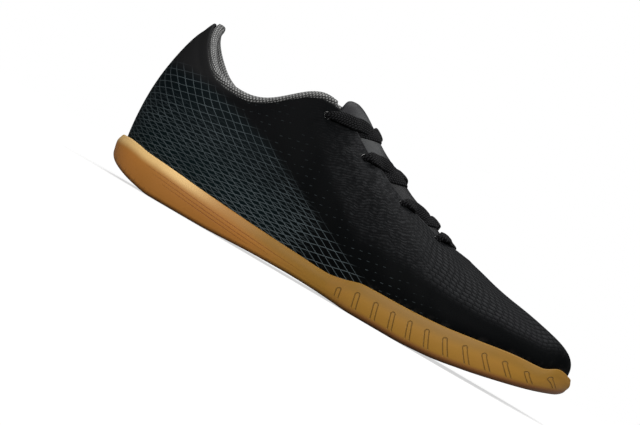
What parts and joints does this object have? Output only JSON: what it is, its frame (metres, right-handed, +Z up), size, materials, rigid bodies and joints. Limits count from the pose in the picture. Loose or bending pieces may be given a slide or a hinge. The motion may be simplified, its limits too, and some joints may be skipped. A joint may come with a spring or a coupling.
{
  "type": "indoor soccer shoe",
  "caption": "Low-cut indoor football shoe: black shell upper, padded knit collar, laced throat and a gum rubber cup sole, standing empty on its sole.",
  "frame": {"origin": "on the floor, at the middle of the shoe's length and width", "axes": "+X toward the toe, -Y toward the outer (lateral) side, +Z up"},
  "size_m": [0.288, 0.0988, 0.1051],
  "materials": {
    "gum_sole": "satin gum rubber, honey to red brown",
    "upper_shell": "coated black textile with thin grey-green lattice lines",
    "tongue_fabric": "dark satin fabric",
    "insole_fabric": "matt fabric over foam",
    "knit_lining": "grey knit over foam",
    "lace_fabric": "woven black lace"
  },
  "bodies": {
    "root": {"outsole": "gum_sole", "upper": "upper_shell", "tongue": "tongue_fabric", "insole": "insole_fabric", "collar_lining": "knit_lining", "laces": "lace_fabric"}
  },
  "joints": []
}
